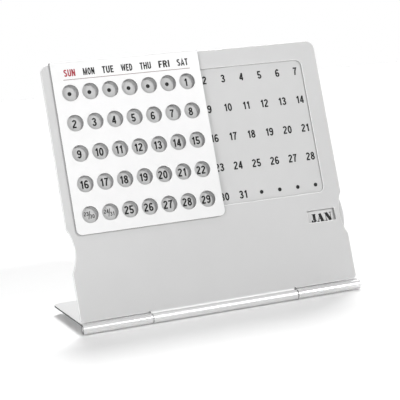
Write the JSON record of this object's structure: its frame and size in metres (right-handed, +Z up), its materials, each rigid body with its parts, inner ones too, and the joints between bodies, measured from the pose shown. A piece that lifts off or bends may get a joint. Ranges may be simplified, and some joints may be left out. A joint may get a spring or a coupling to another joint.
{
  "type": "perpetual desk calendar",
  "caption": "Leaning sheet-metal desk calendar with a sliding hole mask over a date grid, a month dial behind a window and a hinged foot plate.",
  "frame": {"origin": "centre of the footprint's bounding box on the table plane", "axes": "+X to the viewer's right along the hinge, +Y to the back, +Z up"},
  "size_m": [0.13, 0.055, 0.1143],
  "materials": {
    "front_plate": "satin",
    "date_plate": "satin",
    "month_disc": "satin",
    "dial_post": "turned",
    "cone_washer": "spring steel",
    "back_cover": "satin",
    "cover_studs": "plated",
    "cover_nuts": "plated",
    "slider_mask": "pale satin",
    "slider_liner": "matt",
    "stop_studs": "plated",
    "foot_plate": "satin",
    "hinge_pin": "ground",
    "foot_pads": "matt"
  },
  "bodies": {
    "foot": {"foot_plate": "foot_plate", "hinge_pin": "hinge_pin", "foot_pads": "foot_pads"},
    "panel": {"front_plate": "front_plate", "date_plate": "date_plate", "dial_post": "dial_post", "cone_washer": "cone_washer", "back_cover": "back_cover", "cover_studs": "cover_studs", "cover_nuts": "cover_nuts", "stop_studs": "stop_studs"},
    "slider": {"slider_mask": "slider_mask", "slider_liner": "slider_liner"},
    "dial": {"month_disc": "month_disc"}
  },
  "joints": [
    {"name": "panel_fold", "type": "hinge", "parent": "foot", "child": "panel", "pos_m": [0, -0.02533, 0.00245], "axis": [1, 0, 0], "range_deg": [0, 104]},
    {"name": "slider_slide", "type": "slide", "parent": "panel", "child": "slider", "axis": [1, 0, 0], "range_m": [0, 0.05364]},
    {"name": "dial_turn", "type": "hinge", "parent": "panel", "child": "dial", "pos_m": [0.0365, -0.01455, 0.03429], "axis": [0, 0.9703, -0.2419], "continuous": true}
  ]
}
